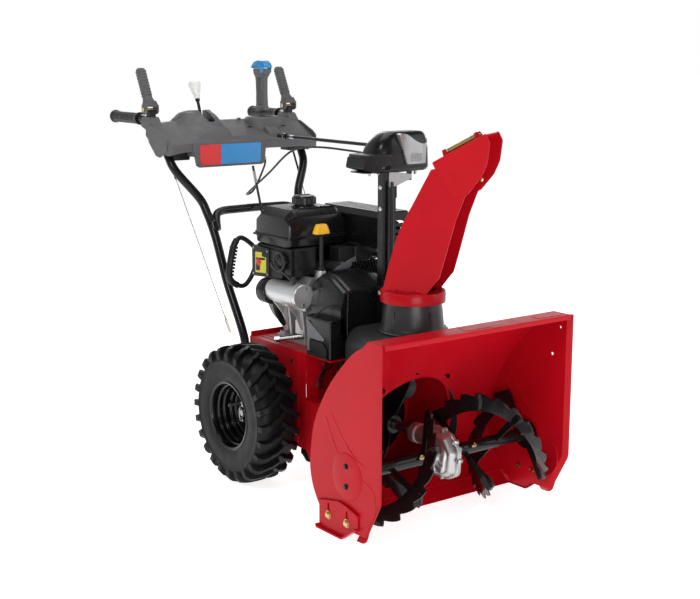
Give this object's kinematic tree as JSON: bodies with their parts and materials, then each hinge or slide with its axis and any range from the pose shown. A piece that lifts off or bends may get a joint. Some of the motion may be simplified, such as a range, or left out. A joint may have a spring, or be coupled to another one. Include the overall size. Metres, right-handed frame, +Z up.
{
  "type": "two stage snowblower",
  "caption": "Walk-behind two stage snowblower: ribbon augers feed an impeller that throws snow through a turning chute; engine on a wheeled frame with handlebar controls.",
  "frame": {"origin": "on the ground, under the middle of the machine's bounding box", "axes": "+Z up; the intake faces -Y and the operator stands at +Y; +X is the operator's left"},
  "size_m": [0.64, 1.41, 1.131],
  "materials": {
    "red_paint": "glossy enamel",
    "black_paint": "semi-gloss enamel",
    "black_plastic": "satin moulded",
    "grey_plastic": "textured moulded",
    "tyre_rubber": "moulded rubber",
    "soft_rubber": "matt",
    "cast_aluminium": "as cast",
    "bare_steel": "machined",
    "zinc_plate": "yellow zinc",
    "blue_plastic": "moulded",
    "yellow_plastic": "moulded",
    "red_plastic": "moulded",
    "white_plastic": "moulded"
  },
  "bodies": {
    "root": {"auger_housing": "red_paint", "scraper_blade": "red_paint", "skid_left": "red_paint", "skid_right": "red_paint", "impeller_housing": "black_paint", "chute_collar": "black_paint", "auger_gearcase": "cast_aluminium", "auger_belt": "soft_rubber", "traction_belt": "soft_rubber", "traction_frame": "red_paint", "engine_block": "cast_aluminium", "recoil_housing": "black_plastic", "fuel_tank": "black_plastic", "muffler_guard": "black_paint", "carburetor_cover": "black_plastic", "starter_motor": "bare_steel", "belt_cover": "black_plastic", "chute_post": "black_paint", "lamp_housing": "black_plastic", "handle_left": "black_paint", "grip_left": "soft_rubber", "handle_right": "black_paint", "grip_right": "soft_rubber", "handle_crossbar": "black_paint", "dashboard": "grey_plastic", "deflector_cable": "soft_rubber"},
    "augers": {"auger_shaft": "bare_steel", "auger_left": "black_paint", "auger_right": "black_paint"},
    "impeller_rotor": {"impeller_shaft": "bare_steel", "impeller": "black_paint"},
    "crankshaft": {"crank_pulley": "bare_steel"},
    "friction_drive": {"friction_plate": "cast_aluminium"},
    "hex_drive": {"hex_shaft": "bare_steel"},
    "friction_roller": {"friction_wheel": "soft_rubber"},
    "wheels": {"axle": "bare_steel", "tyre_left": "tyre_rubber", "rim_left": "black_paint", "tyre_right": "tyre_rubber", "rim_right": "black_paint"},
    "auger_tensioner": {"auger_idler": "bare_steel"},
    "traction_tensioner": {"traction_idler": "bare_steel"},
    "chute_body": {"chute": "red_paint"},
    "deflector_body": {"deflector": "red_paint"},
    "pinion_body": {"chute_pinion": "bare_steel"},
    "rod_body": {"chute_rod": "bare_steel"},
    "stick_gimbal": {"joystick_gimbal": "grey_plastic"},
    "stick": {"joystick": "grey_plastic"},
    "stick_trigger": {"joystick_trigger": "blue_plastic"},
    "auger_hand_lever": {"auger_lever": "grey_plastic"},
    "traction_hand_lever": {"traction_lever": "grey_plastic"},
    "gear_lever": {"speed_lever": "white_plastic"},
    "auger_wire": {"auger_cable": "zinc_plate"},
    "traction_wire": {"traction_cable": "zinc_plate"},
    "gear_rod": {"speed_rod": "bare_steel"},
    "tank_cap": {"fuel_cap": "black_plastic"},
    "oil_dipstick": {"dipstick": "yellow_plastic"},
    "pull_handle": {"recoil_handle": "black_plastic"},
    "primer": {"primer_bulb": "soft_rubber"},
    "stop_button": {"stop_switch": "red_plastic"}
  },
  "joints": [
    {"name": "impeller_spin", "type": "hinge", "parent": "root", "child": "impeller_rotor", "pos_m": [0, -0.3, 0.191], "axis": [0, 1, 0], "continuous": true},
    {"name": "auger_spin", "type": "hinge", "parent": "root", "child": "augers", "pos_m": [0, -0.564, 0.16], "axis": [1, 0, 0], "continuous": true},
    {"name": "crank_spin", "type": "hinge", "parent": "root", "child": "crankshaft", "pos_m": [0, -0.21, 0.478], "axis": [0, 1, 0], "continuous": true},
    {"name": "friction_plate_spin", "type": "hinge", "parent": "root", "child": "friction_drive", "pos_m": [0, -0.17, 0.29], "axis": [0, 1, 0], "continuous": true},
    {"name": "wheel_roll", "type": "hinge", "parent": "root", "child": "wheels", "pos_m": [0, -0.035, 0.1905], "axis": [1, 0, 0], "continuous": true},
    {"name": "hex_spin", "type": "hinge", "parent": "root", "child": "hex_drive", "pos_m": [0, -0.0924, 0.29], "axis": [1, 0, 0], "continuous": true},
    {"name": "friction_wheel_shift", "type": "slide", "parent": "hex_drive", "child": "friction_roller", "axis": [1, 0, 0], "range_m": [-0.045, 0.045]},
    {"name": "auger_belt_tension", "type": "hinge", "parent": "root", "child": "auger_tensioner", "pos_m": [0.126, -0.22, 0.258], "axis": [0, -1, 0], "range_deg": [0, 14]},
    {"name": "traction_belt_tension", "type": "hinge", "parent": "root", "child": "traction_tensioner", "pos_m": [-0.126, -0.2, 0.282], "axis": [0, 1, 0], "range_deg": [0, 14]},
    {"name": "chute_turn", "type": "hinge", "parent": "root", "child": "chute_body", "pos_m": [0, -0.438, 0.55], "axis": [0, 0, 1], "range_deg": [-125, 65]},
    {"name": "deflector_tilt", "type": "hinge", "parent": "chute_body", "child": "deflector_body", "pos_m": [0.08, -0.57656, 0.852], "axis": [0.866, 0.5, 0], "range_deg": [0, 45]},
    {"name": "chute_pinion_spin", "type": "hinge", "parent": "root", "child": "pinion_body", "pos_m": [0.012, -0.334, 0.7], "axis": [0, 0, 1], "range_deg": [-290, 557]},
    {"name": "chute_rod_spin", "type": "hinge", "parent": "root", "child": "rod_body", "pos_m": [0.1, 0, 0.913], "axis": [0, 1, 0], "range_deg": [-557, 290]},
    {"name": "joystick_swing", "type": "hinge", "parent": "root", "child": "stick_gimbal", "pos_m": [0.107, 0.425, 0.952], "axis": [0, 1, 0], "range_deg": [-38, 20]},
    {"name": "joystick_pitch", "type": "hinge", "parent": "stick_gimbal", "child": "stick", "pos_m": [0.107, 0.425, 0.952], "axis": [1, 0, 0], "range_deg": [0, 23]},
    {"name": "joystick_trigger_squeeze", "type": "hinge", "parent": "stick", "child": "stick_trigger", "pos_m": [0.107, 0.403, 1.104], "axis": [-1, 0, 0], "range_deg": [0, 4], "stiffness_Nm_per_rad": 2, "springref_deg": -5.73},
    {"name": "auger_lever_press", "type": "hinge", "parent": "root", "child": "auger_hand_lever", "pos_m": [-0.246, 0.485, 0.994], "axis": [-1, 0, 0], "range_deg": [0, 52], "stiffness_Nm_per_rad": 1.5, "springref_deg": -22.92},
    {"name": "traction_lever_press", "type": "hinge", "parent": "root", "child": "traction_hand_lever", "pos_m": [0.246, 0.485, 0.994], "axis": [-1, 0, 0], "range_deg": [0, 52], "stiffness_Nm_per_rad": 1.5, "springref_deg": -22.92},
    {"name": "gear_lever_shift", "type": "hinge", "parent": "root", "child": "gear_lever", "pos_m": [-0.09, 0.435, 0.905], "axis": [1, 0, 0], "range_deg": [-10, 10]},
    {"name": "auger_cable_pull", "type": "slide", "parent": "root", "child": "auger_wire", "axis": [-0.055, 0.5068, 0.8603], "range_m": [0, 0.028]},
    {"name": "traction_cable_pull", "type": "slide", "parent": "root", "child": "traction_wire", "axis": [0.055, 0.5068, 0.8603], "range_m": [0, 0.028]},
    {"name": "gear_rod_shift", "type": "slide", "parent": "root", "child": "gear_rod", "axis": [0.0517, 0.4047, 0.913], "range_m": [-0.011, 0.011]},
    {"name": "fuel_cap_turn", "type": "hinge", "parent": "root", "child": "tank_cap", "pos_m": [-0.055, -0.03, 0.75], "axis": [0, 0, 1], "range_deg": [0, 120]},
    {"name": "dipstick_pull", "type": "slide", "parent": "root", "child": "oil_dipstick", "axis": [0, 0, 1], "range_m": [0, 0.13]},
    {"name": "recoil_pull", "type": "slide", "parent": "root", "child": "pull_handle", "axis": [-0.7, 0.6, 0.3873], "range_m": [0, 0.55], "stiffness_N_per_m": 12, "springref_m": -0.1},
    {"name": "primer_push", "type": "slide", "parent": "root", "child": "primer", "axis": [1, 0, 0], "range_m": [0, 0.003], "stiffness_N_per_m": 600, "springref_m": -0.002},
    {"name": "stop_button_pull", "type": "slide", "parent": "root", "child": "stop_button", "axis": [-1, 0, 0], "range_m": [0, 0.006]}
  ],
  "couplings": [
    {"joint": "auger_spin", "follows": "impeller_spin", "ratio": 0.1},
    {"joint": "hex_spin", "follows": "wheel_roll", "ratio": -2.088},
    {"joint": "chute_pinion_spin", "follows": "chute_turn", "ratio": -4.442},
    {"joint": "chute_rod_spin", "follows": "chute_turn", "ratio": 4.442},
    {"joint": "joystick_swing", "follows": "chute_turn", "ratio": 0.3},
    {"joint": "joystick_pitch", "follows": "deflector_tilt", "ratio": 0.5},
    {"joint": "auger_cable_pull", "follows": "auger_lever_press", "m_per_rad": 0.03},
    {"joint": "auger_belt_tension", "follows": "auger_lever_press", "ratio": 0.26},
    {"joint": "traction_cable_pull", "follows": "traction_lever_press", "m_per_rad": 0.03},
    {"joint": "traction_belt_tension", "follows": "traction_lever_press", "ratio": 0.26},
    {"joint": "gear_rod_shift", "follows": "gear_lever_shift", "m_per_rad": 0.06},
    {"joint": "friction_wheel_shift", "follows": "gear_lever_shift", "m_per_rad": 0.25}
  ]
}
